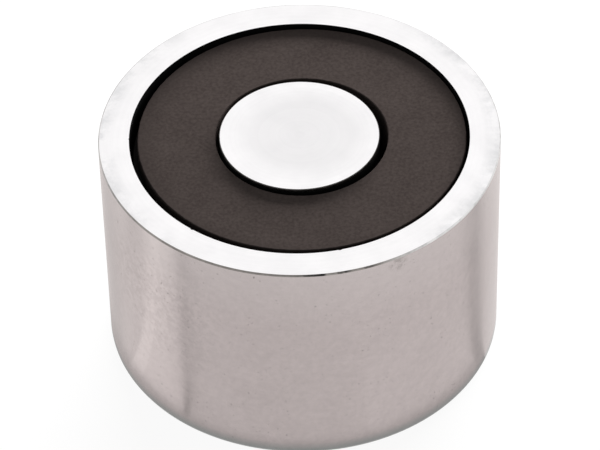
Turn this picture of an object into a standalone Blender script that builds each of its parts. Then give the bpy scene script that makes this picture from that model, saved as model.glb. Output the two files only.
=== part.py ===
"""A pot-type holding electromagnet, standing on its rear face with the pole face up.

The origin is the centre of the rear mounting face, and +Z runs along the axis to the pole face.
A soft-iron pot and a core staked into its floor carry the field. Between them sits a wound bobbin,
potted in place, whose leads come out through a bush low in the pot's wall, on the +Y side.
"""

import math

import bmesh
import bpy
from mathutils import Vector

# Core, in metres: the inner pole above, a staked spigot and the fixing thread below
CORE_DIAMETER = 0.016
SPIGOT_DIAMETER = 0.010
STAKE_FLARE = 0.00075
STAKE_DEPTH = 0.001
STAKE_RECESS = 0.0001
THREAD_CORE_DIAMETER = 0.0042
THREAD_DEPTH = 0.010
THREAD_MOUTH_CHAMFER = 0.00055
DRILL_POINT_ANGLE = math.radians(118)

# Coil, from the core outwards: bobbin tube, winding, tape and the flanges' proud edge
COIL_CORE_CLEARANCE = 0.0006
TUBE_WALL = 0.0009
WINDING_BUILD = 0.0035
TAPE_THICKNESS = 0.0003
FLANGE_PROUD = 0.00246
COIL_POT_CLEARANCE = 0.00054

# Pot: with the sizes above, its wall brings it to 40 mm across
POT_WALL = 0.0031
POT_HEIGHT = 0.025
POT_FLOOR = 0.0045
POT_REAR_RADIUS = 0.0006
POT_FACE_CHAMFER = 0.00015
FLOOR_FILLET = 0.0005
EDGE_BREAK = 0.0001

# Gaps between pieces that seat on each other, and round the fine wire and pins
FIT_GAP = 0.0003
PIN_FIT_GAP = 0.00015

# The coil sits off centre within its clearances, and below the pole faces
COIL_SHIFT_X = 0.00024
COIL_SHIFT_Y = 0.00024
COIL_RECESS = 0.0004

# Heights in the coil
UPPER_FLANGE = 0.0016
LOWER_FLANGE = 0.0014
FLANGE_EDGE_BREAK = 0.00008
TAPE_LIFT = 0.0012
WINDING_CORNER = 0.0004
SEAT_DISC_THICKNESS = 0.0004
SEAT_DISC_INSET = 0.0015

# Bush in the wall for two leads, with a collar inside that also keys the bobbin
LEAD_BORE_DIAMETER = 0.0016
LEAD_WEB = 0.0005
BUSH_WALL = 0.00035
COLLAR_WIDTH = 0.0008
COLLAR_THICKNESS = 0.0008
COLLAR_ABOVE_FLOOR = 0.0006
BUSH_END_RECESS = 0.0002
BUSH_END_CHAMFER = 0.0002

# Terminals on the lower flange, either side of the collar's notch
BOSS_MARGIN = 0.00025
BOSS_BESIDE_NOTCH = 0.0007
BOSS_HEIGHT = 0.0012
PIN_DIAMETER = 0.0008
PIN_TIP = 0.0003
PIN_TIP_CHAMFER = 0.0001
POCKET_FLOOR = 0.0004
WIRE_DIAMETER = 0.0003
WIRE_WRAPS = 2.25
WRAP_SPACING = 0.00015
SLOT_BESIDE_PIN = math.radians(9)
START_SLOT_DEPTH = 0.0008
FINISH_LAP_ANGLE = math.radians(22)
FINISH_RISE_BESIDE_PIN = math.radians(8)
SOLDER_HEIGHT = 0.001
SOLDER_FOOT = 0.00045
SOLDER_FOOT_HEIGHT = 0.000125
SOLDER_WAIST = 0.00019
SOLDER_TOP = 0.00012
WINDOW_MARGIN = 0.0005

# Facets
POT_STEPS = 96
COIL_STEPS = 72
PIN_STEPS = 16
BUSH_STEPS = 24
ARC_SEGMENTS = 4
POINTS_PER_WRAP = 14
SPAN_STEPS = 4
LAP_STEPS = 4
WIRE_STEPS = 2
CUTTER_REACH = 0.001
SHARP_ANGLE = math.radians(30)
MERGE_DISTANCE = 0.00001

# Radii from the axis outwards
core_radius = CORE_DIAMETER / 2
spigot_radius = SPIGOT_DIAMETER / 2
tube_inner_radius = core_radius + COIL_CORE_CLEARANCE
tube_outer_radius = tube_inner_radius + TUBE_WALL
winding_inner_radius = tube_outer_radius + FIT_GAP
winding_outer_radius = winding_inner_radius + WINDING_BUILD
tape_inner_radius = winding_outer_radius + FIT_GAP
tape_outer_radius = tape_inner_radius + TAPE_THICKNESS
pin_circle_radius = tape_outer_radius + FLANGE_PROUD / 2
flange_radius = tape_outer_radius + FLANGE_PROUD
bore_radius = flange_radius + COIL_POT_CLEARANCE
pot_radius = bore_radius + POT_WALL

# Heights above the rear face, from the floor up
seat_disc_bottom = POT_FLOOR + FIT_GAP
seat_disc_top = seat_disc_bottom + SEAT_DISC_THICKNESS
bobbin_bottom = seat_disc_top + FIT_GAP
lower_flange_top = bobbin_bottom + LOWER_FLANGE
bobbin_top = POT_HEIGHT - COIL_RECESS
upper_flange_bottom = bobbin_top - UPPER_FLANGE
winding_bottom = lower_flange_top + FIT_GAP
winding_top = upper_flange_bottom - FIT_GAP

# The bush lies along Y, so its ends are distances from the axis
lead_spacing = LEAD_BORE_DIAMETER + LEAD_WEB
bush_radius = (lead_spacing + LEAD_BORE_DIAMETER) / 2 + BUSH_WALL
collar_radius = bush_radius + COLLAR_WIDTH
bush_height = POT_FLOOR + COLLAR_ABOVE_FLOOR + collar_radius
bush_end = pot_radius - BUSH_END_RECESS
collar_front = math.sqrt(bore_radius**2 - collar_radius**2) - FIT_GAP
collar_back = collar_front - COLLAR_THICKNESS
notch_half_width = collar_radius + FIT_GAP

# Terminals, from the boss up
pin_radius = PIN_DIAMETER / 2
wire_radius = WIRE_DIAMETER / 2
wrap_radius = pin_radius + PIN_FIT_GAP + wire_radius
boss_radius = FLANGE_PROUD / 2 - BOSS_MARGIN
pin_angle = math.asin((notch_half_width + BOSS_BESIDE_NOTCH + boss_radius) / pin_circle_radius)
slot_angle = pin_angle + SLOT_BESIDE_PIN
boss_top = lower_flange_top + BOSS_HEIGHT
wrap_bottom = boss_top + PIN_FIT_GAP + wire_radius
wrap_top = wrap_bottom + WIRE_WRAPS * (WIRE_DIAMETER + WRAP_SPACING)
solder_bottom = wrap_top + wire_radius + PIN_FIT_GAP
solder_top = solder_bottom + SOLDER_HEIGHT
pin_bottom = bobbin_bottom + POCKET_FLOOR + PIN_FIT_GAP
pin_top = solder_top + PIN_TIP


def clear_scene():
    for obj in list(bpy.data.objects):
        bpy.data.objects.remove(obj, do_unlink=True)


def new_collection(name):
    collection = bpy.data.collections.new(name)
    bpy.context.scene.collection.children.link(collection)
    return collection


def new_material(name, colour, metallic, roughness):
    material = bpy.data.materials.new(name)
    material.use_nodes = True
    shader = material.node_tree.nodes["Principled BSDF"]
    shader.inputs["Base Color"].default_value = (*colour, 1)
    shader.inputs["Metallic"].default_value = metallic
    shader.inputs["Roughness"].default_value = roughness
    return material


clear_scene()
parts = new_collection("holding_electromagnet")
cutters = new_collection("cutters")
coil_axis = bpy.data.objects.new("coil_axis", None)
coil_axis.location = (COIL_SHIFT_X, COIL_SHIFT_Y, 0)
coil_axis.empty_display_size = POT_HEIGHT
parts.objects.link(coil_axis)


def arc(centre, radius, start, end):
    """Points on an arc of a profile, from one angle to another, in degrees from outward towards +Z."""
    points = []
    for i in range(ARC_SEGMENTS + 1):
        angle = math.radians(start + (end - start) * i / ARC_SEGMENTS)
        points.append((centre[0] + radius * math.cos(angle), centre[1] + radius * math.sin(angle)))
    return points


def turned(name, profile, steps, closed=True):
    """A profile of (radius, height) turned about Z. An open profile starts and ends on the axis."""
    count = len(profile)
    edges = [(i, (i + 1) % count) for i in range(count if closed else count - 1)]
    mesh = bpy.data.meshes.new(name)
    mesh.from_pydata([(radius, 0, height) for radius, height in profile], edges, [])
    obj = bpy.data.objects.new(name, mesh)
    parts.objects.link(obj)
    screw = obj.modifiers.new("turn", "SCREW")
    screw.axis = "Z"
    screw.angle = 2 * math.pi
    screw.steps = steps
    screw.render_steps = steps
    screw.use_merge_vertices = True
    screw.merge_threshold = MERGE_DISTANCE
    return obj


def ring(name, inner, outer, bottom, top, steps, corner=0):
    """A turned ring, with its two outer corners cut off where corner is given."""
    if corner:
        outside = [(outer - corner, top), (outer, top - corner), (outer, bottom + corner), (outer - corner, bottom)]
    else:
        outside = [(outer, top), (outer, bottom)]
    return turned(name, [(inner, top), *outside, (inner, bottom)], steps)


def as_helper(obj):
    for collection in list(obj.users_collection):
        collection.objects.unlink(obj)
    cutters.objects.link(obj)
    obj.hide_render = True
    obj.display_type = "WIRE"
    return obj


def cylinder(name, radius, start, end, steps):
    """A helper cylinder between two points."""
    start, end = Vector(start), Vector(end)
    mesh = bpy.data.meshes.new(name)
    shape = bmesh.new()
    length = (end - start).length
    bmesh.ops.create_cone(shape, cap_ends=True, segments=steps, radius1=radius, radius2=radius, depth=length)
    shape.to_mesh(mesh)
    shape.free()
    obj = bpy.data.objects.new(name, mesh)
    obj.location = (start + end) / 2
    obj.rotation_euler = (end - start).to_track_quat("Z", "Y").to_euler()
    return as_helper(obj)


def block(name, low, high):
    """A helper box between two corners."""
    low, high = Vector(low), Vector(high)
    mesh = bpy.data.meshes.new(name)
    shape = bmesh.new()
    bmesh.ops.create_cube(shape, size=1)
    bmesh.ops.scale(shape, vec=high - low, verts=shape.verts)
    shape.to_mesh(mesh)
    shape.free()
    obj = bpy.data.objects.new(name, mesh)
    obj.location = (low + high) / 2
    return as_helper(obj)


def combine(obj, other, operation):
    boolean = obj.modifiers.new(f"{operation.lower()} {other.name}", "BOOLEAN")
    boolean.operation = operation
    boolean.solver = "EXACT"
    boolean.object = other


def on_coil(obj):
    """The coil's pieces share its axis, which is off the pot's."""
    obj.parent = coil_axis
    return obj


def settle(obj, material):
    """Makes the modifiers real, then shades the piece smooth between its sharp edges."""
    bpy.context.view_layer.update()
    mesh = bpy.data.meshes.new_from_object(obj.evaluated_get(bpy.context.evaluated_depsgraph_get()))
    obj.modifiers.clear()
    obj.data = mesh
    mesh.name = obj.name
    mesh.shade_smooth()
    mesh.set_sharp_from_angle(angle=SHARP_ANGLE)
    mesh.materials.clear()
    mesh.materials.append(material)
    return obj


def around_coil(radius, angle, height):
    """A point about the coil's axis, by its angle from +Y towards +X."""
    return Vector((radius * math.sin(angle), radius * math.cos(angle), height))


def smooth_run(points):
    """A Catmull-Rom run through the given points."""
    ends = [2 * points[0] - points[1], *points, 2 * points[-1] - points[-2]]
    run = []
    for a, b, c, d in zip(ends, ends[1:], ends[2:], ends[3:]):
        for i in range(SPAN_STEPS):
            t = i / SPAN_STEPS
            run.append(
                0.5 * (2 * b + (c - a) * t + (2 * a - 5 * b + 4 * c - d) * t**2 + (3 * b - a - 3 * c + d) * t**3)
            )
    return [*run, points[-1]]


def wire(name, points, material):
    """Round wire along the points, parented to the coil's axis."""
    curve = bpy.data.curves.new(name, "CURVE")
    curve.dimensions = "3D"
    curve.bevel_depth = wire_radius
    curve.bevel_resolution = WIRE_STEPS
    curve.use_fill_caps = True
    spline = curve.splines.new("POLY")
    spline.points.add(len(points) - 1)
    for place, point in zip(spline.points, points):
        place.co = (*point, 1)
    curve.materials.append(material)
    obj = bpy.data.objects.new(name, curve)
    parts.objects.link(obj)
    return on_coil(obj)


def wrap(pin, approach, direction):
    """The turns of wire round a pin, coming tangentially from the approach point, anticlockwise for +1."""
    away = approach - pin
    distance = math.hypot(away.x, away.y)
    start = math.atan2(away.y, away.x) + direction * math.acos(wrap_radius / distance)
    count = round(WIRE_WRAPS * POINTS_PER_WRAP)
    points = []
    for i in range(count + 1):
        angle = start + direction * 2 * math.pi * WIRE_WRAPS * i / count
        offset = Vector((math.cos(angle), math.sin(angle), 0)) * wrap_radius
        height = wrap_bottom + (wrap_top - wrap_bottom) * i / count
        points.append(Vector((pin.x, pin.y, height)) + offset)
    return points


def make_housing_pot():
    spigot_hole = spigot_radius + FIT_GAP
    profile = [
        (bore_radius + EDGE_BREAK, POT_HEIGHT),
        (pot_radius - POT_FACE_CHAMFER, POT_HEIGHT),
        (pot_radius, POT_HEIGHT - POT_FACE_CHAMFER),
        *arc((pot_radius - POT_REAR_RADIUS, POT_REAR_RADIUS), POT_REAR_RADIUS, 0, -90),
        (spigot_hole + STAKE_FLARE, 0),
        (spigot_hole, STAKE_DEPTH),
        (spigot_hole, POT_FLOOR),
        *arc((bore_radius - FLOOR_FILLET, POT_FLOOR + FLOOR_FILLET), FLOOR_FILLET, -90, 0),
        (bore_radius, POT_HEIGHT - EDGE_BREAK),
    ]
    pot = turned("housing_pot", profile, POT_STEPS)
    lead_hole = cylinder(
        "lead_hole_cutter",
        bush_radius + FIT_GAP,
        (0, collar_front - CUTTER_REACH, bush_height),
        (0, pot_radius + CUTTER_REACH, bush_height),
        BUSH_STEPS,
    )
    combine(pot, lead_hole, "DIFFERENCE")
    settle(pot, new_material("plated_steel", (0.62, 0.60, 0.59), 1.0, 0.35))


def make_pole_core():
    thread_radius = THREAD_CORE_DIAMETER / 2
    mouth_radius = thread_radius + THREAD_MOUTH_CHAMFER
    drill_point = thread_radius / math.tan(DRILL_POINT_ANGLE / 2)
    thread_end = STAKE_RECESS + THREAD_DEPTH
    profile = [
        (0, POT_HEIGHT),
        (core_radius - EDGE_BREAK, POT_HEIGHT),
        (core_radius, POT_HEIGHT - EDGE_BREAK),
        (core_radius, POT_FLOOR + FIT_GAP),
        (spigot_radius, POT_FLOOR + FIT_GAP),
        (spigot_radius, STAKE_DEPTH),
        (spigot_radius + STAKE_FLARE * (1 - STAKE_RECESS / STAKE_DEPTH), STAKE_RECESS),
        (mouth_radius, STAKE_RECESS),
        (thread_radius, STAKE_RECESS + THREAD_MOUTH_CHAMFER),
        (thread_radius, thread_end),
        (0, thread_end + drill_point),
    ]
    core = turned("pole_core", profile, COIL_STEPS, closed=False)
    settle(core, new_material("ground_iron", (0.72, 0.71, 0.70), 1.0, 0.28))


def pin_place(side):
    """Where a terminal pin stands, start on the -1 side and finish on the +1 side."""
    return around_coil(pin_circle_radius, side * pin_angle, 0)


def make_coil_bobbin():
    top_edge = FLANGE_EDGE_BREAK
    profile = [
        (tube_inner_radius + top_edge, bobbin_top),
        (flange_radius - top_edge, bobbin_top),
        (flange_radius, bobbin_top - top_edge),
        (flange_radius, upper_flange_bottom),
        (tube_outer_radius, upper_flange_bottom),
        (tube_outer_radius, lower_flange_top),
        (flange_radius, lower_flange_top),
        (flange_radius, bobbin_bottom),
        (tube_inner_radius, bobbin_bottom),
        (tube_inner_radius, bobbin_top - top_edge),
    ]
    bobbin = on_coil(turned("coil_bobbin", profile, COIL_STEPS))
    for side, name in ((-1, "start"), (1, "finish")):
        place = pin_place(side)
        foot = place + Vector((0, 0, lower_flange_top - LOWER_FLANGE / 2))
        boss = cylinder(
            f"{name}_boss", boss_radius, foot, place + Vector((0, 0, boss_top)), BUSH_STEPS
        )
        combine(bobbin, on_coil(boss), "UNION")
        pocket = cylinder(
            f"{name}_pocket_cutter",
            pin_radius + PIN_FIT_GAP,
            place + Vector((0, 0, bobbin_bottom + POCKET_FLOOR)),
            place + Vector((0, 0, boss_top + CUTTER_REACH)),
            PIN_STEPS,
        )
        combine(bobbin, on_coil(pocket), "DIFFERENCE")
    slot_width = WIRE_DIAMETER + 2 * FIT_GAP
    slot = block(
        "start_slot_cutter",
        (-slot_width / 2, tube_outer_radius, lower_flange_top - START_SLOT_DEPTH),
        (slot_width / 2, flange_radius + CUTTER_REACH, lower_flange_top + CUTTER_REACH),
    )
    slot.location = around_coil(slot.location.y, -slot_angle, slot.location.z)
    slot.rotation_euler.z = slot_angle
    combine(bobbin, on_coil(slot), "DIFFERENCE")
    notch = block(
        "collar_notch_cutter",
        (-notch_half_width, collar_back - FIT_GAP, bobbin_bottom - CUTTER_REACH),
        (notch_half_width, bore_radius + CUTTER_REACH, lower_flange_top + CUTTER_REACH),
    )
    combine(bobbin, notch, "DIFFERENCE")
    settle(bobbin, new_material("filled_nylon", (0.065, 0.052, 0.047), 0.0, 0.62))


def make_winding():
    winding = ring(
        "coil_winding", winding_inner_radius, winding_outer_radius, winding_bottom, winding_top,
        COIL_STEPS, WINDING_CORNER,
    )
    settle(on_coil(winding), new_material("enamelled_copper", (0.45, 0.13, 0.05), 1.0, 0.3))
    tape = ring(
        "winding_tape", tape_inner_radius, tape_outer_radius, winding_bottom + TAPE_LIFT, winding_top, COIL_STEPS
    )
    settle(on_coil(tape), new_material("polyester_tape", (0.75, 0.6, 0.12), 0.0, 0.4))


def make_potting_compound():
    """Cast resin between the taped winding and the wall, left open round the terminals."""
    outer = bore_radius - FIT_GAP
    profile = [(0, winding_top), (outer, winding_top), (outer, winding_bottom), (0, winding_bottom)]
    potting = turned("potting_compound", profile, COIL_STEPS, closed=False)
    coil_space = cylinder(
        "coil_space_cutter",
        tape_outer_radius + FIT_GAP,
        (0, 0, winding_bottom - CUTTER_REACH),
        (0, 0, winding_top + CUTTER_REACH),
        COIL_STEPS,
    )
    combine(potting, on_coil(coil_space), "DIFFERENCE")
    half_width = bore_radius * math.sin(slot_angle) + WINDOW_MARGIN
    window_top = max(pin_top, bush_height + collar_radius) + WINDOW_MARGIN
    window = block(
        "terminal_window_cutter",
        (-half_width, core_radius, winding_bottom - CUTTER_REACH),
        (half_width, pot_radius, window_top),
    )
    combine(potting, window, "DIFFERENCE")
    settle(potting, new_material("cast_resin", (0.03, 0.028, 0.027), 0.0, 0.5))


def make_seat_disc():
    disc = ring(
        "seat_disc", tube_inner_radius, flange_radius - SEAT_DISC_INSET, seat_disc_bottom, seat_disc_top, COIL_STEPS
    )
    settle(on_coil(disc), new_material("pressboard", (0.5, 0.38, 0.24), 0.0, 0.8))


def make_terminals():
    pin_metal = new_material("tinned_brass", (0.7, 0.66, 0.55), 1.0, 0.3)
    solder_metal = new_material("solder", (0.65, 0.66, 0.68), 1.0, 0.25)
    tip = pin_radius - PIN_TIP_CHAMFER
    pin_profile = [
        (0, pin_top),
        (tip, pin_top),
        (pin_radius, pin_top - PIN_TIP_CHAMFER),
        (pin_radius, pin_bottom + PIN_TIP_CHAMFER),
        (tip, pin_bottom),
        (0, pin_bottom),
    ]
    solder_inner = pin_radius + PIN_FIT_GAP
    solder_profile = [
        (solder_inner, solder_top),
        (solder_inner + SOLDER_TOP, solder_top),
        (solder_inner + SOLDER_WAIST, solder_bottom + SOLDER_HEIGHT / 2),
        (solder_inner + SOLDER_FOOT, solder_bottom + SOLDER_FOOT_HEIGHT),
        (solder_inner + SOLDER_FOOT, solder_bottom),
        (solder_inner, solder_bottom),
    ]
    for side, end in ((-1, "start"), (1, "finish")):
        pin = on_coil(turned(f"terminal_pin_{end}", pin_profile, PIN_STEPS, closed=False))
        pin.location = pin_place(side)
        settle(pin, pin_metal)
        joint = on_coil(turned(f"solder_joint_{end}", solder_profile, PIN_STEPS))
        joint.location = pin_place(side)
        settle(joint, solder_metal)


def make_wires():
    enamel = new_material("enamelled_wire", (0.5, 0.16, 0.06), 1.0, 0.3)
    slot_height = lower_flange_top - START_SLOT_DEPTH / 2
    rise_radius = (tape_outer_radius + pin_circle_radius) / 2
    start_rise = around_coil(rise_radius, -slot_angle, (slot_height + wrap_bottom) / 2)
    start_turns = wrap(pin_place(-1), start_rise, 1)
    start_run = [
        around_coil(winding_inner_radius + WIRE_DIAMETER, -slot_angle, slot_height),
        around_coil(winding_outer_radius, -slot_angle, slot_height),
        start_rise,
        start_turns[0],
    ]
    wire("start_wire", smooth_run(start_run)[:-1] + start_turns, enamel)
    lap_radius = winding_outer_radius + PIN_FIT_GAP + wire_radius
    lap_height = winding_bottom + TAPE_LIFT / 2
    lap = []
    for i in range(LAP_STEPS + 1):
        lap_angle = slot_angle + FINISH_LAP_ANGLE * (1 - i / LAP_STEPS)
        lap.append(around_coil(lap_radius, lap_angle, lap_height))
    rise_angle = pin_angle + FINISH_RISE_BESIDE_PIN
    finish_rise = around_coil(rise_radius, rise_angle, (lap_height + wrap_bottom) / 2)
    finish_turns = wrap(pin_place(1), finish_rise, -1)
    wire("finish_wire", smooth_run([*lap, finish_rise, finish_turns[0]])[:-1] + finish_turns, enamel)


def make_lead_bush():
    """The bush is turned about Z, bored for the two leads and laid along +Y."""
    profile = [
        (0, bush_end),
        (bush_radius - BUSH_END_CHAMFER, bush_end),
        (bush_radius, bush_end - BUSH_END_CHAMFER),
        (bush_radius, collar_front),
        (collar_radius, collar_front),
        (collar_radius, collar_back),
        (0, collar_back),
    ]
    bush = turned("lead_bush", profile, BUSH_STEPS, closed=False)
    bush.location.z = bush_height
    bush.rotation_euler.x = -math.pi / 2
    for side, name in ((-1, "left"), (1, "right")):
        x = side * lead_spacing / 2
        lead_bore = cylinder(
            f"{name}_lead_cutter",
            LEAD_BORE_DIAMETER / 2,
            (x, collar_back - CUTTER_REACH, bush_height),
            (x, bush_end + CUTTER_REACH, bush_height),
            PIN_STEPS,
        )
        combine(bush, lead_bore, "DIFFERENCE")
    settle(bush, new_material("moulded_rubber", (0.02, 0.02, 0.02), 0.0, 0.6))


make_housing_pot()
make_pole_core()
make_coil_bobbin()
make_winding()
make_potting_compound()
make_seat_disc()
make_terminals()
make_wires()
make_lead_bush()
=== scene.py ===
"""The look of a round pot-type holding electromagnet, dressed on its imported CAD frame.

Everything is in the frame's own axes: the rear face lies on z = 0, the pole faces look up and the lead
bush is on the +Y side. Outlines and sizes are written in millimetres and scaled where meshes are made.
Places in materials, and all that belongs to the camera, the lamps and the cards, are in metres.
"""

import math

import bpy
import numpy as np
from mathutils import Matrix, Vector


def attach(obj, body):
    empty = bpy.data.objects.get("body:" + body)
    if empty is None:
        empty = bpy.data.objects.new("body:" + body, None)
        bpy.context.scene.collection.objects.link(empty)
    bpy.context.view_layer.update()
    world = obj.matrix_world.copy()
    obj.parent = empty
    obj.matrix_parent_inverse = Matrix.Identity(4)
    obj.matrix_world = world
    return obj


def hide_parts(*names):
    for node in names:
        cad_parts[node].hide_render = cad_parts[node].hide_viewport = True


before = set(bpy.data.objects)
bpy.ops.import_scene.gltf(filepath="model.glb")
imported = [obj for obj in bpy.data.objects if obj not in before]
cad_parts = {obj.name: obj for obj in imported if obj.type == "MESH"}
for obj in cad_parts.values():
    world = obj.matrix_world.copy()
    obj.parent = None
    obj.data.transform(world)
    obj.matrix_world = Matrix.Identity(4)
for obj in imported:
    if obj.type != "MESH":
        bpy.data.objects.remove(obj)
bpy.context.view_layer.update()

MM = 0.001

# Sizes that the CAD solids also have, in millimetres
POT_RADIUS = 20
POT_HEIGHT = 25
POT_FLOOR = 4.5
BORE_RADIUS = 16.9
SPIGOT_HOLE = 5.3
SPIGOT_COUNTERSINK = 0.75
CORE_RADIUS = 8
CORE_SHOULDER = POT_FLOOR + 0.3
SPIGOT_RADIUS = 5
SPIGOT_FLARE = 0.675
COIL_CENTRE = Vector((0.24, 0.24, 0))
WINDING_INNER, WINDING_OUTER = 9.8, 13.3
WINDING_BOTTOM, WINDING_TOP = 7.2, 22.7
WIRE = 0.3

# The bush, with its ends and its collar's ends as distances from the pot's axis
BUSH_HEIGHT = 8.1
BUSH_RADIUS = 2.2
BUSH_END = 19.8
BUSH_CORNER = 0.2
BUSH_GAP = 0.3
COLLAR_RADIUS = 3.0
COLLAR_OUTER_END, COLLAR_INNER_END = 16.33, 15.53
LEAD_HOLE_RADIUS = 0.8
LEAD_OFFSET = 1.05

# The fixing thread: its radii, its heights above the rear face, the length in which its grooves fade out
# and the height of the drill's point
THREAD_PITCH = 0.8
THREAD_MINOR = 2.1
THREAD_MAJOR = 2.5
THREAD_MOUTH = 2.65
THREAD_ROOT_HALF, THREAD_FLANK = 0.069, 0.231
THREAD_START = 0.1
THREAD_LAST = 9.6
THREAD_END = 10.1
THREAD_RUNOUT = 1.2
DRILL_POINT = 1.26

# Material slots of the turned pieces, and of the pieces with a single material
SIDE, FACE, EDGE, INSIDE, REAR, THREAD = range(6)
ONLY = 0

# Facets of the turned pieces and cutters, and of the shade round the foot
POT_FACETS = 384
CORE_FACETS = 256
COIL_FACETS = 192
BUSH_FACETS = 96
HOLE_FACETS = 64
LEAD_HOLE_FACETS = 40
CONTACT_SHADE_FACETS = 96
CORNER_STEPS = 5
THREAD_LEVELS_A_TURN = 10

# Extra facets on each side of a nick, and the angle between them in degrees
NICK_STEPS = 14
NICK_STEP = 0.16


# Meshes


def rounded(corners):
    """Rounds an outline of (radius, height, slot, corner radius), and gives (radius, height, slot)."""
    points = []
    count = len(corners)
    for index, (radius, height, slot, bend) in enumerate(corners):
        here = Vector((radius, height))
        if not bend:
            points.append((radius, height, slot))
            continue
        before = Vector(corners[index - 1][:2]) - here
        after = Vector(corners[(index + 1) % count][:2]) - here
        before_slot = corners[index - 1][2]
        half = before.angle(after) / 2
        reach = bend / math.tan(half)
        start = here + before.normalized() * reach
        end = here + after.normalized() * reach
        centre = here + (before.normalized() + after.normalized()).normalized() * (bend / math.sin(half))
        start_angle = math.atan2(start.y - centre.y, start.x - centre.x)
        turn = math.atan2(end.y - centre.y, end.x - centre.x) - start_angle
        turn = (turn + math.pi) % (2 * math.pi) - math.pi
        for step in range(CORNER_STEPS + 1):
            angle = start_angle + turn * step / CORNER_STEPS
            place = centre + Vector((math.cos(angle), math.sin(angle))) * bend
            own_slot = slot == EDGE or step >= CORNER_STEPS / 2
            points.append((place.x, place.y, slot if own_slot else before_slot))
    return points


def azimuths(facets, fine_spots=()):
    """Evenly spaced angles round the axis, with closer ones near each fine spot."""
    angles = set(np.round(np.arange(facets) * 2 * math.pi / facets, 6))
    for spot in fine_spots:
        for step in range(-NICK_STEPS, NICK_STEPS + 1):
            angles.add(round((spot + math.radians(step * NICK_STEP)) % (2 * math.pi), 6))
    return np.array(sorted(angles))


def from_front(degrees):
    """An angle measured from the -Y side towards +X, as an angle from +X."""
    return math.radians(degrees - 90) % (2 * math.pi)


def lathe(name, outline, angles, closed=True):
    """A mesh turned about Z from (radius, height, slot), where radius may hold one value for each angle."""
    count = len(angles)
    cosines, sines = np.cos(angles), np.sin(angles)
    places, rings = [], []
    total = 0
    for radius, height, _ in outline:
        radius = np.broadcast_to(np.asarray(radius, float), (count,))
        if radius.max() == 0:
            places.append(np.array([[0, 0, height]]))
            rings.append(np.full(count, total))
            total += 1
        else:
            places.append(np.column_stack([radius * cosines, radius * sines, np.full(count, height)]))
            rings.append(np.arange(total, total + count))
            total += count
    faces, slots = [], []
    bands = len(outline) if closed else len(outline) - 1
    for band in range(bands):
        upper, lower = rings[band], rings[(band + 1) % len(outline)]
        for here in range(count):
            there = (here + 1) % count
            corners = [upper[here], lower[here], lower[there], upper[there]]
            faces.append([int(c) for c in dict.fromkeys(corners)])
            slots.append(outline[band][2])
    mesh = bpy.data.meshes.new(name)
    mesh.from_pydata([tuple(p) for p in np.concatenate(places) * MM], [], faces)
    mesh.polygons.foreach_set("material_index", slots)
    mesh.update()
    return in_scene(name, mesh)


def in_scene(name, data):
    """A new object in the scene for a mesh, a lamp or a camera."""
    obj = bpy.data.objects.new(name, data)
    bpy.context.scene.collection.objects.link(obj)
    return obj


def shade(obj, limit=35):
    """Smooth shading between edges that turn by less than the limit, in degrees."""
    obj.data.shade_smooth()
    obj.data.set_sharp_from_angle(angle=math.radians(limit))


def cut(obj, *cutters):
    """Cuts the cutters from a mesh for good, and deletes them."""
    for cutter in cutters:
        modifier = obj.modifiers.new("cut", "BOOLEAN")
        modifier.operation = "DIFFERENCE"
        modifier.solver = "EXACT"
        modifier.object = cutter
    bpy.context.view_layer.update()
    result = bpy.data.meshes.new_from_object(obj.evaluated_get(bpy.context.evaluated_depsgraph_get()))
    obj.modifiers.clear()
    obj.data = result
    for cutter in cutters:
        bpy.data.objects.remove(cutter)


def bore_cutter(radius, x, y_from, facets):
    """A cylinder along +Y at the bush's height, from a distance inside to 1 mm outside the pot."""
    y_to = POT_RADIUS + 1
    outline = [(0, y_to, ONLY), (radius, y_to, ONLY), (radius, y_from, ONLY), (0, y_from, ONLY)]
    cutter = lathe("bore_cutter", outline, azimuths(facets), closed=False)
    cutter.matrix_world = lying_along_y(x)
    return cutter


def lying_along_y(x=0):
    """Turns a piece made about Z so that it lies along +Y through the wall."""
    return Matrix.Translation(Vector((x, 0, BUSH_HEIGHT)) * MM) @ Matrix.Rotation(-math.pi / 2, 4, "X")


def dent(obj, nicks):
    """Pushes in small nicks. Each is an angle, a radius and a height, and how wide, tall and deep it is."""
    mesh = obj.data
    places = np.empty(len(mesh.vertices) * 3)
    mesh.vertices.foreach_get("co", places)
    places = places.reshape(-1, 3)
    for angle, radius, height, wide, tall, depth in nicks:
        centre = np.array([radius * math.cos(angle), radius * math.sin(angle), height]) * MM
        along = np.array([-math.sin(angle), math.cos(angle), 0])
        into_metal = 1 if radius == BORE_RADIUS else -1
        inward = np.array([into_metal * math.cos(angle), into_metal * math.sin(angle), -1]) / math.sqrt(2)
        offset = places - centre
        side = offset @ along
        rest = np.linalg.norm(offset - np.outer(side, along), axis=1)
        fall = np.clip(1 - (side / (wide * MM)) ** 2 - (rest / (tall * MM)) ** 2, 0, 1) ** 1.5
        places += np.outer(fall * depth * MM, inward)
    mesh.vertices.foreach_set("co", places.ravel())
    mesh.update()


# Node materials


def new_material(name):
    material = bpy.data.materials.new(name)
    material.use_nodes = True
    return material


def add(material, kind, inputs=None, **settings):
    """Adds a node. An input is a value, or an output that is linked to it."""
    tree = material.node_tree
    node = tree.nodes.new(kind)
    for key, value in settings.items():
        setattr(node, key, value)
    for key, value in (inputs or {}).items():
        if isinstance(value, bpy.types.NodeSocket):
            tree.links.new(value, node.inputs[key])
        else:
            node.inputs[key].default_value = value
    return node


def object_place(material):
    return add(material, "ShaderNodeTexCoord").outputs["Object"]


def parts_of(material, vector):
    """The outputs X, Y and Z of a vector."""
    return add(material, "ShaderNodeSeparateXYZ", {"Vector": vector}).outputs


def stretched(material, place, scale):
    return add(material, "ShaderNodeMapping", {"Vector": place, "Scale": scale}).outputs["Vector"]


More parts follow.
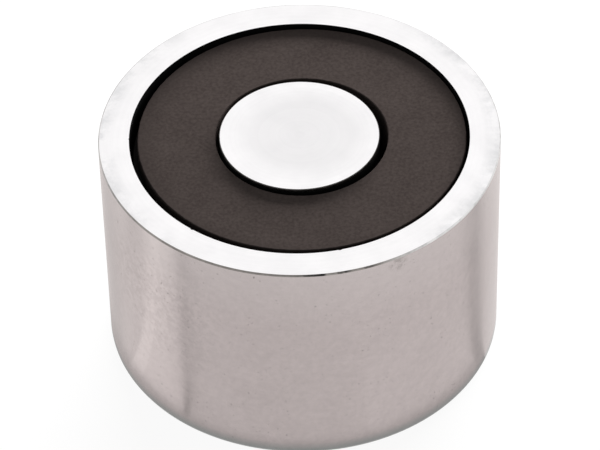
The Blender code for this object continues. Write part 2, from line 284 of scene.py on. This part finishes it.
def noise(material, vector, scale, detail=2, roughness=0.5):
    inputs = {"Vector": vector, "Scale": scale, "Detail": detail, "Roughness": roughness}
    return add(material, "ShaderNodeTexNoise", inputs).outputs["Fac"]


def remap(material, value, low, high, to_low=0.0, to_high=1.0):
    inputs = {"Value": value, "From Min": low, "From Max": high, "To Min": to_low, "To Max": to_high}
    return add(material, "ShaderNodeMapRange", inputs).outputs["Result"]


def maths(material, operation, first, second=0.0):
    return add(material, "ShaderNodeMath", {0: first, 1: second}, operation=operation).outputs[0]


def vector_maths(material, operation, *inputs):
    return add(material, "ShaderNodeVectorMath", dict(enumerate(inputs)), operation=operation).outputs


def mixed(material, factor, first, second):
    """Two colours mixed by a factor."""
    node = add(material, "ShaderNodeMix", {0: factor}, data_type="RGBA")
    for index, value in ((6, first), (7, second)):
        if isinstance(value, bpy.types.NodeSocket):
            material.node_tree.links.new(value, node.inputs[index])
        else:
            node.inputs[index].default_value = (*value, 1)
    return node.outputs[2]


def bump(material, height, distance, strength):
    inputs = {"Height": height, "Distance": distance, "Strength": strength}
    return add(material, "ShaderNodeBump", inputs).outputs["Normal"]


def principled(material, values, links):
    shader = material.node_tree.nodes["Principled BSDF"]
    for key, value in values.items():
        shader.inputs[key].default_value = value
    for key, output in links.items():
        material.node_tree.links.new(output, shader.inputs[key])


def distance_to(material, place, spot):
    """How far a point is from a spot, in metres."""
    return vector_maths(material, "DISTANCE", place, spot)["Value"]


def radial_distance(material, place, centre=(0, 0), stretch=(1, 1)):
    """How far a point is from the axis in metres, or from a line beside it at a centre in millimetres.

    A stretch in X and Y makes ovals of the rings of equal distance.
    """
    beside = vector_maths(material, "SUBTRACT", place, (centre[0] * MM, centre[1] * MM, 0))[0]
    flat = vector_maths(material, "MULTIPLY", beside, (*stretch, 0))[0]
    return vector_maths(material, "LENGTH", flat)["Value"]


def tool_rings(material, place, frequency):
    """Rings about the axis, as a turning or grinding tool leaves them."""
    outward = maths(material, "MULTIPLY", radial_distance(material, place), frequency)
    swirl = noise(material, stretched(material, place, (160, 160, 160)), 1, 2)
    phase = maths(material, "ADD", outward, maths(material, "MULTIPLY", swirl, 1.2))
    along = add(material, "ShaderNodeCombineXYZ", {"X": phase}).outputs[0]
    return noise(material, along, 1, 2, 0.6)


def turned_metal(material, anisotropy, colour, roughness, normal):
    """Metal whose highlights are drawn out by tool marks that run round the axis."""
    tangent = add(material, "ShaderNodeTangent", direction_type="RADIAL", axis="Z").outputs["Tangent"]
    principled(
        material,
        {"Metallic": 1.0, "Anisotropic": anisotropy, "Anisotropic Rotation": 0.25},
        {"Base Color": colour, "Roughness": roughness, "Normal": normal, "Tangent": tangent},
    )


# Where the pot is stained, knocked and dirty, and the tints of its plating and of its ground iron
STAIN = (-0.0148, -0.0135, 0.0165)
KNOCK = (0.0092, -0.0178, 0.0242)
DIRT = (0.0032, -0.0197, 0.0249)
PLATING_GLANCE = (1, 0.975, 0.968, 1)
GROUND_TINT = Vector((1, 0.985, 0.991))


def plated_side():
    """Satin plated steel on the turned side: soft clouds, tool marks, fine specks, a stain and a knock,
    with painted reflection lighter toward the rim and painted shade at the foot.
    """
    m = new_material("plated_side")
    place = object_place(m)
    height = parts_of(m, place)["Z"]
    clouds = noise(m, place, 300, 3, 0.65)
    mottle = noise(m, place, 1500, 3, 0.6)
    marks = noise(m, stretched(m, place, (140, 140, 5200)), 1, 2, 0.55)
    specks = noise(m, place, 3300, 1, 0.4)

    stained = remap(m, distance_to(m, place, STAIN), 0.009, 0.003)
    speck_zone = maths(m, "MAXIMUM", remap(m, noise(m, place, 420, 2), 0.42, 0.66), stained)
    speck = maths(m, "MULTIPLY", remap(m, specks, 0.69, 0.77), speck_zone)
    near_knock = remap(m, distance_to(m, place, KNOCK), 0.0012, 0.0003, 0.0, 0.5)
    scuff = maths(m, "MULTIPLY", near_knock, remap(m, mottle, 0.44, 0.56))

    uneven = maths(m, "ADD", maths(m, "MULTIPLY", clouds, 0.5), maths(m, "MULTIPLY", mottle, 0.5))
    body = mixed(m, remap(m, uneven, 0.36, 0.64), (0.450, 0.396, 0.388), (0.502, 0.442, 0.433))
    residue = mixed(m, remap(m, mottle, 0.41, 0.60), (0.405, 0.356, 0.349), (0.555, 0.489, 0.479))
    patchy = mixed(m, maths(m, "MULTIPLY", stained, 0.3), body, residue)
    lined = mixed(m, remap(m, marks, 0.35, 0.75, 0.0, 0.06), patchy, (0.36, 0.33, 0.32))
    # Painted reflection: the side is lighter toward the rim.
    upper = mixed(m, remap(m, height, 0.0175, 0.0248, 0.0, 0.35), lined, (0.60, 0.55, 0.54))
    # Painted shade: the side is darker at the foot, for the floor's contact shadow seen in it.
    painted_foot_shade = mixed(m, remap(m, height, 0.0016, 0.0006, 0.0, 0.5), upper, (0.18, 0.25, 0.245))
    specked = mixed(m, maths(m, "MULTIPLY", speck, 0.6), painted_foot_shade, (0.16, 0.14, 0.13))
    colour = mixed(m, scuff, specked, (0.20, 0.185, 0.17))

    rough = remap(m, clouds, 0.3, 0.7, 0.205, 0.24)
    turned_metal(m, 0.95, colour, rough, bump(m, marks, 0.0000012, 0.6))
    principled(m, {"Specular Tint": PLATING_GLANCE}, {})
    return m


def ground_face(name, inner, outer, inner_shade, outer_shade, centre, stretch):
    """Bright ground iron, with painted reflection in ovals from inner to outer, and greyer in patches at
    the rim's sides.
    """
    m = new_material(name)
    place = object_place(m)
    rings = tool_rings(m, place, 2600)
    clouds = noise(m, place, 330, 3, 0.6)
    # Painted reflection: the tone runs from the inner shade to the outer one in ovals round an offset
    # centre.
    painted_reflection_oval = radial_distance(m, place, centre, stretch)
    outward = remap(m, painted_reflection_oval, inner * MM, outer * MM)
    body = mixed(m, outward, GROUND_TINT * inner_shade, GROUND_TINT * outer_shade)
    cloudy = mixed(m, remap(m, clouds, 0.38, 0.75, 0.0, 0.3), body, (0.81, 0.80, 0.81))
    ringed = mixed(m, remap(m, rings, 0.4, 0.75, 0.0, 0.12), cloudy, (0.71, 0.70, 0.71))
    sideways = remap(m, maths(m, "ABSOLUTE", parts_of(m, place)["X"]), 0.010, 0.0145)
    margin = maths(m, "MULTIPLY", sideways, remap(m, radial_distance(m, place), 0.0182, 0.0197))
    patch = maths(m, "MULTIPLY", margin, remap(m, noise(m, place, 240, 6, 0.72), 0.42, 0.60))
    colour = mixed(m, maths(m, "MULTIPLY", patch, 0.7), ringed, (0.68, 0.68, 0.69))
    rough = remap(m, clouds, 0.3, 0.7, 0.30, 0.38)
    turned_metal(m, 0.6, colour, rough, bump(m, rings, 0.0000015, 0.5))
    return m


def turned_rear():
    """The plated rear face, with the rings that the turning tool left."""
    m = new_material("turned_rear")
    place = object_place(m)
    rings = tool_rings(m, place, 1900)
    clouds = noise(m, place, 300, 3, 0.65)
    body = mixed(m, remap(m, clouds, 0.36, 0.64), (0.46, 0.415, 0.405), (0.55, 0.50, 0.49))
    colour = mixed(m, remap(m, rings, 0.35, 0.72, 0.0, 0.3), body, (0.33, 0.30, 0.29))
    rough = remap(m, clouds, 0.3, 0.7, 0.28, 0.34)
    turned_metal(m, 0.8, colour, rough, bump(m, rings, 0.000004, 0.6))
    return m


def broken_edge():
    """The narrow break round the rim: painted reflection makes it darker at the front and brighter at the
    rear and the right, and it is dark where dirt has caught.
    """
    m = new_material("edge_break")
    place = object_place(m)
    sides = parts_of(m, place)
    # Painted reflection: dark toward the front and light toward the rear, and painted highlight toward the
    # right.
    painted_reflection_front_rear = mixed(m, remap(m, sides["Y"], -0.011, 0.001), (0.27, 0.25, 0.235), (0.62, 0.60, 0.59))
    painted_highlight_right = mixed(m, remap(m, sides["X"], 0.0072, 0.0125), painted_reflection_front_rear, (0.74, 0.735, 0.725))
    dirt = remap(m, noise(m, place, 420, 4, 0.65), 0.46, 0.60)
    near_dirt = remap(m, distance_to(m, place, DIRT), 0.0055, 0.0015, 0.25, 1.0)
    colour = mixed(m, maths(m, "MULTIPLY", dirt, near_dirt), painted_highlight_right, (0.022, 0.021, 0.02))
    principled(m, {"Metallic": 1.0, "Roughness": 0.3}, {"Base Color": colour})
    return m


def steel(name, dark, light, roughness):
    """Plain worked metal, with clouds between two shades and a little unevenness."""
    m = new_material(name)
    place = object_place(m)
    clouds = noise(m, place, 900, 4, 0.6)
    fine = noise(m, place, 5400, 2)
    colour = mixed(m, remap(m, clouds, 0.3, 0.7), dark, light)
    rough = remap(m, fine, 0.3, 0.7, roughness - 0.05, roughness + 0.07)
    normal = bump(m, fine, 0.000002, 0.4)
    principled(m, {"Metallic": 1.0}, {"Base Color": colour, "Roughness": rough, "Normal": normal})
    return m


def moulded(name, dark, light, roughness, specular, scale=3800, depth=0.000006, painted_shade=None):
    """A matt or satin moulding or casting, with a fine grain between two shades.

    Painted shade is a centre beside the axis, and the distances from it at which a darker tone starts and
    is full, in millimetres.
    """
    m = new_material(name)
    place = object_place(m)
    clouds = noise(m, place, 240, 3, 0.6)
    grain = noise(m, place, scale, 2, 0.6)
    shade_by = maths(m, "ADD", maths(m, "MULTIPLY", clouds, 0.3), maths(m, "MULTIPLY", grain, 0.7))
    colour = mixed(m, remap(m, shade_by, 0.34, 0.66), dark, light)
    # Painted shade: darker toward the wall round the ring, where the wall's shadow falls.
    if painted_shade:
        centre, start, full = painted_shade
        painted_shade_share = remap(m, radial_distance(m, place, centre), start * MM, full * MM, 0.0, 0.5)
        colour = mixed(m, painted_shade_share, colour, Vector(dark) * 0.6)
    rough = remap(m, grain, 0.3, 0.7, roughness - 0.06, roughness + 0.06)
    normal = bump(m, grain, depth, 0.7)
    principled(
        m,
        {"Specular IOR Level": specular},
        {"Base Color": colour, "Roughness": rough, "Normal": normal},
    )
    return m


def painted_shade_black(name):
    """Near-black, matt walls inside the pot and round the core: painted shade on steel walls, for the deep
    gaps.
    """
    return moulded(name, (0.003, 0.003, 0.003), (0.006, 0.006, 0.006), 0.7, 0.05)


# Pieces


def smooth_facets():
    """A node group that welds a mesh's corners and smooths its edges that turn by less than 32 degrees."""
    tree = bpy.data.node_groups.new("smooth_facets", "GeometryNodeTree")
    tree.interface.new_socket("Geometry", in_out="INPUT", socket_type="NodeSocketGeometry")
    tree.interface.new_socket("Geometry", in_out="OUTPUT", socket_type="NodeSocketGeometry")
    nodes, links = tree.nodes, tree.links
    source, target = nodes.new("NodeGroupInput"), nodes.new("NodeGroupOutput")
    weld = nodes.new("GeometryNodeMergeByDistance")
    weld.inputs["Distance"].default_value = 0.000001
    angle = nodes.new("GeometryNodeInputMeshEdgeAngle")
    sharp = nodes.new("FunctionNodeCompare")
    sharp.operation = "GREATER_THAN"
    sharp.inputs[1].default_value = math.radians(32)
    faces, edges = nodes.new("GeometryNodeSetShadeSmooth"), nodes.new("GeometryNodeSetShadeSmooth")
    faces.domain, edges.domain = "FACE", "EDGE"
    faces.inputs["Shade Smooth"].default_value = True
    edges.inputs["Shade Smooth"].default_value = False
    links.new(source.outputs[0], weld.inputs["Geometry"])
    links.new(weld.outputs["Geometry"], faces.inputs["Geometry"])
    links.new(faces.outputs["Geometry"], edges.inputs["Geometry"])
    links.new(angle.outputs["Unsigned Angle"], sharp.inputs[0])
    links.new(sharp.outputs["Result"], edges.inputs["Selection"])
    links.new(edges.outputs["Geometry"], target.inputs[0])
    return tree


def dress(obj, *materials):
    for material in materials:
        obj.data.materials.append(material)


def keep_node(name, material):
    """A CAD node that stays, with a better finish, smoothed by a modifier that leaves its mesh alone."""
    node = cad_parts[name]
    slots = node.data.materials
    if len(slots):
        slots[0] = material
    else:
        slots.append(material)
    modifier = node.modifiers.new("smooth_facets", "NODES")
    modifier.node_group = bpy.data.node_groups.get("smooth_facets") or smooth_facets()


def stand_for(piece, node):
    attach(piece, "root")
    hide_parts(node)


# The pot, with its ground rim and turned side

RIM_NICKS = [
    (from_front(-28.6), POT_RADIUS, POT_HEIGHT - 0.12, 0.45, 0.22, 0.09),
    (from_front(-26.2), POT_RADIUS, POT_HEIGHT - 0.10, 0.25, 0.16, 0.05),
    (from_front(27.6), POT_RADIUS, POT_HEIGHT - 0.30, 0.22, 0.30, 0.06),
    (from_front(-72.0), POT_RADIUS, POT_HEIGHT - 0.10, 0.30, 0.18, 0.06),
    (from_front(6.5), POT_RADIUS, POT_HEIGHT - 0.10, 0.50, 0.14, 0.05),
    (from_front(-90.0), BORE_RADIUS, POT_HEIGHT, 0.16, 0.16, 0.06),
    (from_front(-39.0), BORE_RADIUS, POT_HEIGHT, 0.20, 0.20, 0.07),
    (from_front(12.4), BORE_RADIUS, POT_HEIGHT, 0.22, 0.14, 0.05),
]


def make_pot(rear):
    """The outline has more levels near the rim, where the nicks are."""
    corners = [
        (BORE_RADIUS, POT_HEIGHT, FACE, 0.08),
        (BORE_RADIUS + 0.35, POT_HEIGHT, FACE, 0),
        (POT_RADIUS - 0.6, POT_HEIGHT, FACE, 0),
        (POT_RADIUS - 0.3, POT_HEIGHT, FACE, 0),
        (POT_RADIUS, POT_HEIGHT, EDGE, 0.11),
        (POT_RADIUS, POT_HEIGHT - 0.20, SIDE, 0),
        (POT_RADIUS, POT_HEIGHT - 0.28, SIDE, 0),
        (POT_RADIUS, POT_HEIGHT - 0.40, SIDE, 0),
        (POT_RADIUS, POT_HEIGHT - 0.60, SIDE, 0),
        (POT_RADIUS, POT_HEIGHT - 1.2, SIDE, 0),
        (POT_RADIUS, 12, SIDE, 0),
        (POT_RADIUS, 1.2, SIDE, 0),
        (POT_RADIUS, 0, SIDE, 0.6),
        (POT_RADIUS - 0.8, 0, REAR, 0),
        (SPIGOT_HOLE + SPIGOT_COUNTERSINK, 0, INSIDE, 0.06),
        (SPIGOT_HOLE, 1, INSIDE, 0),
        (SPIGOT_HOLE, POT_FLOOR, INSIDE, 0),
        (BORE_RADIUS, POT_FLOOR, INSIDE, 0.5),
        (BORE_RADIUS, POT_HEIGHT - 1, INSIDE, 0),
        (BORE_RADIUS, POT_HEIGHT - 0.3, INSIDE, 0),
    ]
    pot = lathe("pot_shell", rounded(corners), azimuths(POT_FACETS, [nick[0] for nick in RIM_NICKS]))
    dent(pot, RIM_NICKS)
    # Painted reflection: the rim is lightest at the near and far sides and darker at the left and right.
    rim = ground_face("ground_rim", 18.8, 21.3, 1.0, 0.97, (0.8, 0), (1.1, 1))
    # The bore's wall carries painted shade.
    dress(pot, plated_side(), rim, broken_edge(), painted_shade_black("painted_shade_wall"), rear)
    cut(pot, bore_cutter(BUSH_RADIUS + BUSH_GAP, 0, 15.8, HOLE_FACETS))
    shade(pot)
    stand_for(pot, "housing_pot")


# The core, with its real thread

CORE_NICKS = [
    (from_front(-88), CORE_RADIUS, POT_HEIGHT, 0.18, 0.16, 0.06),
    (from_front(18), CORE_RADIUS, POT_HEIGHT, 0.14, 0.12, 0.04),
]


def thread_form(angles, height):
    """The radius of the tapped hole at a height, for each angle: a right-handed metric form."""
    turn = height / THREAD_PITCH - angles / (2 * math.pi)
    from_groove = np.abs((turn + 0.5) % 1 - 0.5) * THREAD_PITCH
    share = np.clip((THREAD_ROOT_HALF + THREAD_FLANK - from_groove) / THREAD_FLANK, 0, 1)
    depth = (THREAD_MAJOR - THREAD_MINOR) * share
    depth *= np.clip((THREAD_LAST - height) / THREAD_RUNOUT, 0, 1)
    countersink = THREAD_MOUTH - (height - THREAD_START)
    return np.maximum(THREAD_MINOR + depth, countersink)


def make_core(rear):
    """The core has no turned side, so its first slot holds the face again."""
    angles = azimuths(CORE_FACETS, [nick[0] for nick in CORE_NICKS])
    corners = [
        (2.0, POT_HEIGHT, FACE, 0),
        (5.0, POT_HEIGHT, FACE, 0),
        (CORE_RADIUS - 0.3, POT_HEIGHT, FACE, 0),
        (CORE_RADIUS, POT_HEIGHT, EDGE, 0.09),
        (CORE_RADIUS, POT_HEIGHT - 0.3, INSIDE, 0),
        (CORE_RADIUS, POT_HEIGHT - 1, INSIDE, 0),
        (CORE_RADIUS, CORE_SHOULDER, INSIDE, 0.15),
        (SPIGOT_RADIUS, CORE_SHOULDER, INSIDE, 0),
        (SPIGOT_RADIUS, 1, INSIDE, 0),
        (SPIGOT_RADIUS + SPIGOT_FLARE, THREAD_START, REAR, 0.05),
        (THREAD_MOUTH, THREAD_START, THREAD, 0),
    ]
    outline = [(0, POT_HEIGHT, FACE)] + rounded(corners)
    rise = THREAD_PITCH / THREAD_LEVELS_A_TURN
    levels = np.arange(THREAD_START + rise, THREAD_END, rise)
    outline += [(thread_form(angles, level), level, THREAD) for level in levels]
    outline += [(THREAD_MINOR, THREAD_END, THREAD), (0, THREAD_END + DRILL_POINT, THREAD)]
    core = lathe("core_turned", outline, angles, closed=False)
    dent(core, CORE_NICKS)
    # Painted reflection: the pole face is lighter toward its edge.
    face = ground_face("ground_pole", 4.9, 7.6, 0.889, 1.0, (0.5, 0.1), (1, 1.1))
    # Painted shade: the pole's rounded edge is near-black steel.
    edge = steel("core_edge_painted_shade", (0.05, 0.047, 0.045), (0.10, 0.095, 0.09), 0.35)
    thread = steel("thread_flanks", (0.40, 0.37, 0.35), (0.54, 0.50, 0.47), 0.3)
    # The core's side carries painted shade.
    dress(core, face, face, edge, painted_shade_black("painted_shade_core"), rear, thread)
    shade(core)
    stand_for(core, "pole_core")


# The winding, as rows of turns. A turn's outline is a share of the pitch and how far it is sunk

TURN_OUTLINE = ((0.42, 0.085), (0.2, 0.015), (-0.2, 0.015), (-0.42, 0.085))


def make_winding():
    turns = int((WINDING_TOP - WINDING_BOTTOM) / WIRE)
    pitch = (WINDING_TOP - WINDING_BOTTOM) / turns
    outline = [(WINDING_INNER, WINDING_TOP, ONLY)]
    for turn in range(turns):
        crown = WINDING_TOP - (turn + 0.5) * pitch
        for share, sink in TURN_OUTLINE:
            outline.append((WINDING_OUTER - sink, crown + share * pitch, ONLY))
    outline.append((WINDING_INNER, WINDING_BOTTOM, ONLY))
    winding = lathe("winding_turns", outline, azimuths(COIL_FACETS))
    winding.data.transform(Matrix.Translation(COIL_CENTRE * MM))
    dress(winding, steel("copper_enamel", (0.42, 0.11, 0.035), (0.55, 0.17, 0.06), 0.25))
    shade(winding, 60)
    stand_for(winding, "coil_winding")


# The bush for the two leads


def make_bush():
    inner_ring = 0.6
    corners = [
        (inner_ring, BUSH_END, ONLY, 0),
        (BUSH_RADIUS, BUSH_END, ONLY, BUSH_CORNER),
        (BUSH_RADIUS, COLLAR_OUTER_END, ONLY, 0),
        (COLLAR_RADIUS, COLLAR_OUTER_END, ONLY, BUSH_CORNER),
        (COLLAR_RADIUS, COLLAR_INNER_END, ONLY, BUSH_CORNER),
        (inner_ring, COLLAR_INNER_END, ONLY, 0),
    ]
    outline = [(0, BUSH_END, ONLY)] + rounded(corners) + [(0, COLLAR_INNER_END, ONLY)]
    bush = lathe("bush_moulded", outline, azimuths(BUSH_FACETS), closed=False)
    dress(bush, moulded("moulded_rubber", (0.014, 0.014, 0.015), (0.024, 0.024, 0.025), 0.75, 0.15))
    bush.data.transform(lying_along_y())
    leads = (-LEAD_OFFSET, LEAD_OFFSET)
    cut(bush, *(bore_cutter(LEAD_HOLE_RADIUS, x, 14, LEAD_HOLE_FACETS) for x in leads))
    shade(bush)
    stand_for(bush, "lead_bush")


rear_face = turned_rear()
make_pot(rear_face)
make_core(rear_face)
make_winding()
make_bush()


# The imported nodes that stay. The ring is a little darker toward its outer edge, most at the far left:
# painted shade from the wall round it

RING_SHADES = (0.0476, 0.0371, 0.0344), (0.0759, 0.0611, 0.0563)
RING_PAINTED_SHADE = (0.7, -0.7), 14.3, 17.3
TAPE_SHADES = (0.62, 0.47, 0.08), (0.72, 0.57, 0.12)
RESIN_SHADES = (0.012, 0.011, 0.011), (0.020, 0.019, 0.018)
BOARD_SHADES = (0.40, 0.29, 0.17), (0.55, 0.42, 0.27)

ring = moulded("brown_moulding", *RING_SHADES, 0.8, 0.1, 3000, 0.000004, RING_PAINTED_SHADE)
keep_node("coil_bobbin", ring)
keep_node("winding_tape", moulded("yellow_tape", *TAPE_SHADES, 0.35, 0.5, 900, 0.000002))
keep_node("potting_compound", moulded("black_resin", *RESIN_SHADES, 0.7, 0.1, 700))
keep_node("seat_disc", moulded("pressboard", *BOARD_SHADES, 0.85, 0.2, 2600))
tinned = steel("tinned_pin", (0.62, 0.59, 0.50), (0.74, 0.72, 0.64), 0.28)
solder = steel("solder_alloy", (0.58, 0.59, 0.61), (0.74, 0.75, 0.77), 0.22)
wire_enamel = steel("wire_enamel", (0.44, 0.12, 0.04), (0.56, 0.18, 0.06), 0.25)
for end in ("start", "finish"):
    keep_node(f"terminal_pin_{end}", tinned)
    keep_node(f"solder_joint_{end}", solder)
    keep_node(f"{end}_wire", wire_enamel)


# Camera

FOCAL_PIXELS = 3700
PICTURE_WIDTH, PICTURE_HEIGHT = 600, 450
SENSOR_WIDTH = 36
CAMERA_DISTANCE = 0.3674
CAMERA_ELEVATION = math.radians(43.65)
CAMERA_ROLL = math.radians(-1.42)
FACE_CENTRE_PIXEL = (299.35, 134.7)

forward = Vector((0, math.cos(CAMERA_ELEVATION), -math.sin(CAMERA_ELEVATION)))
level_right = Vector((1, 0, 0))
level_up = Vector((0, math.sin(CAMERA_ELEVATION), math.cos(CAMERA_ELEVATION)))
right = math.cos(CAMERA_ROLL) * level_right + math.sin(CAMERA_ROLL) * level_up
up = -math.sin(CAMERA_ROLL) * level_right + math.cos(CAMERA_ROLL) * level_up
across = (FACE_CENTRE_PIXEL[0] - PICTURE_WIDTH / 2) / FOCAL_PIXELS
down = (FACE_CENTRE_PIXEL[1] - PICTURE_HEIGHT / 2) / FOCAL_PIXELS
face_centre = Vector((0, 0, POT_HEIGHT * MM))

camera_data = bpy.data.cameras.new("camera")
camera_data.sensor_width = SENSOR_WIDTH
camera_data.lens = FOCAL_PIXELS * SENSOR_WIDTH / PICTURE_WIDTH
camera_data.clip_start = 0.01
camera = in_scene("camera", camera_data)
orientation = Matrix((right, up, -forward)).transposed().to_4x4()
viewpoint = face_centre - CAMERA_DISTANCE * (forward + across * right - down * up)
camera.matrix_world = Matrix.Translation(viewpoint) @ orientation
bpy.context.scene.camera = camera


# Floor, world, lamps and reflection cards

# The gap between the side and what lies round it in millimetres, and a card's bend and length in metres
STAGE_GAP = 0.02
CARD_BEND, CARD_LENGTH = 0.021, 0.45


def sees_background(tree):
    """1 for the rays that show the background: straight to the camera, or by gloss or glass."""
    path = tree.nodes.new("ShaderNodeLightPath")
    first = tree.nodes.new("ShaderNodeMath")
    second = tree.nodes.new("ShaderNodeMath")
    for node in (first, second):
        node.operation = "MAXIMUM"
    tree.links.new(path.outputs["Is Camera Ray"], first.inputs[0])
    tree.links.new(path.outputs["Is Glossy Ray"], first.inputs[1])
    tree.links.new(first.outputs[0], second.inputs[0])
    tree.links.new(path.outputs["Is Transmission Ray"], second.inputs[1])
    return second.outputs[0]


def flat_panel(name, corners):
    mesh = bpy.data.meshes.new(name)
    mesh.from_pydata([tuple(c) for c in corners], [], [range(len(corners))])
    obj = in_scene(name, mesh)
    return obj


def make_floor():
    """A floor that looks white but for the object's faint shadow, and lights the object like pale paper."""
    reach, drop = 3.0, -0.00005
    corners = (-reach, -reach), (reach, -reach), (reach, reach), (-reach, reach)
    floor = flat_panel("floor", [(x, y, drop) for x, y in corners])
    m = new_material("pale_floor")
    m.cycles.emission_sampling = "NONE"
    tree = m.node_tree
    tree.nodes.remove(tree.nodes["Principled BSDF"])
    lit = add(m, "ShaderNodeBsdfDiffuse", {"Color": (0.8, 0.8, 0.8, 1)}).outputs[0]
    shadowed = add(m, "ShaderNodeBsdfDiffuse", {"Color": (0.11, 0.11, 0.11, 1)}).outputs[0]
    glow = add(m, "ShaderNodeEmission", {"Strength": 0.92}).outputs[0]
    seen = add(m, "ShaderNodeAddShader", {0: shadowed, 1: glow}).outputs[0]
    mix = add(m, "ShaderNodeMixShader", {0: sees_background(tree), 1: lit, 2: seen})
    tree.links.new(mix.outputs[0], tree.nodes["Material Output"].inputs["Surface"])
    dress(floor, m)


def make_world(diffuse_strength):
    """A white world that is seen in full, and lights diffuse surfaces less."""
    world = bpy.data.worlds.new("studio")
    world.use_nodes = True
    bpy.context.scene.world = world
    tree = world.node_tree
    background = tree.nodes["Background"]
    background.inputs["Color"].default_value = (1, 1, 1, 1)
    strength = tree.nodes.new("ShaderNodeMapRange")
    strength.inputs["To Min"].default_value = diffuse_strength
    strength.inputs["To Max"].default_value = 1.0
    tree.links.new(sees_background(tree), strength.inputs["Value"])
    tree.links.new(strength.outputs["Result"], background.inputs["Strength"])


def lamp(name, azimuth, elevation, distance, size, power):
    """A soft lamp that looks at the face from an azimuth measured from the camera's side towards +X."""
    data = bpy.data.lights.new(name, "AREA")
    data.shape = "RECTANGLE"
    data.size, data.size_y = size
    data.energy = power
    obj = in_scene(name, data)
    turn, rise = math.radians(azimuth), math.radians(elevation)
    away = Vector((math.sin(turn) * math.cos(rise), -math.cos(turn) * math.cos(rise), math.sin(rise)))
    obj.location = face_centre + away * distance
    obj.rotation_euler = away.to_track_quat("Z", "Y").to_euler()
    obj.visible_camera = False
    obj.visible_glossy = False


def reflector(obj, radiance):
    """Makes a stage piece glow, in reflections only."""
    obj.visible_camera = False
    obj.visible_diffuse = False
    obj.visible_transmission = False
    obj.visible_volume_scatter = False
    obj.visible_shadow = False
    m = new_material(obj.name)
    m.cycles.emission_sampling = "NONE"
    tree = m.node_tree
    tree.nodes.remove(tree.nodes["Principled BSDF"])
    glow = add(m, "ShaderNodeEmission", {"Color": (1, 1, 1, 1), "Strength": radiance})
    tree.links.new(glow.outputs[0], tree.nodes["Material Output"].inputs["Surface"])
    dress(obj, m)


def level_direction(angle):
    """The level direction at an angle from the camera's side towards +X, in radians."""
    return Vector((math.sin(angle), -math.cos(angle), 0))


def table_card(name, radiance, start, left, right, lift=0.0003):
    """A card that lies on the table and that the side reflects.

    It starts at a distance from the foot of the side. Each of its two edges has the angle round the side
    at which it shows at the foot, and the angle from the bend on. A place at that angle reflects what lies
    outward at twice the angle, so there the edge runs.
    """
    edges = []
    for foot_angle, far_angle in (left, right):
        edge = []
        for away in (start, CARD_BEND, CARD_LENGTH):
            side = math.radians(foot_angle + (far_angle - foot_angle) * min(away / CARD_BEND, 1))
            foot = level_direction(side) * (POT_RADIUS + STAGE_GAP) * MM + Vector((0, 0, lift))
            edge.append(foot + level_direction(2 * side) * away)
        edges.append(edge)
    reflector(flat_panel(name, edges[0] + edges[1][::-1]), radiance)


def make_contact_shade():
    """A narrow grey ring just above the table, which shows at the foot of the side."""
    height, reach = 0.4, 1.5
    outline = [(POT_RADIUS + STAGE_GAP, height, ONLY), (POT_RADIUS + reach, height, ONLY)]
    contact_shade = lathe("contact_shade", outline, azimuths(CONTACT_SHADE_FACETS), closed=False)
    reflector(contact_shade, 0.7)


def make_camera_flag():
    """A dark card behind the camera, which shows in what faces the camera, such as the near edges."""
    centre = Vector((0, -math.cos(CAMERA_ELEVATION), math.sin(CAMERA_ELEVATION))) * 0.5
    corners = ((-0.2, -0.1), (0.2, -0.1), (0.2, 0.12), (-0.2, 0.12))
    flag = flat_panel("camera_flag", [centre + level_right * x + level_up * y for x, y in corners])
    reflector(flag, 0.05)


# Each band has its radiance, its start, its left and right edges, and its lift if it lies over another
REFLECTED_BANDS = [
    ("left_margin", 0.89, 0, (-80, -80), (-69, -66)),
    ("left_outer", 1.07, 0, (-69, -66), (-67.5, -49.5)),
    ("left_outer_far", 0.9, 0.021, (-62, -59), (-62, -50), 0.0006),
    ("left_bright", 1.31, 0, (-67.5, -49.5), (-60, -46)),
    ("left_middle", 1.2, 0, (-60, -46), (-44, -44)),
    ("left_inner", 1.14, 0, (-44, -44), (-37.9, -37.6)),
    ("left_line", 0.56, 0.001, (-37.8, -37.5), (-35.6, -35.6)),
    ("left_beside_line", 0.89, 0, (-35.5, -35.5), (-32.6, -32.6)),
    ("left_of_middle", 0.95, 0, (-32.5, -32.5), (-14, -14)),
    ("right_of_middle", 1.02, 0, (18, 18), (60.7, 55.0)),
    ("right_line", 0.66, 0, (60.7, 55.0), (67.2, 62.0), 0.0006),
    ("right_margin", 1.07, 0, (67.4, 62.4), (84, 84), 0.0006),
]

make_floor()
make_world(0.22)
lamp("overhead", 165, 50, 0.6, (0.4, 0.4), 0.65)
lamp("low_back", 164, 8.5, 0.45, (0.56, 0.085), 12.0)
for band in REFLECTED_BANDS:
    table_card(*band)
make_contact_shade()
make_camera_flag()

scene = bpy.context.scene
scene.view_settings.view_transform = "Standard"
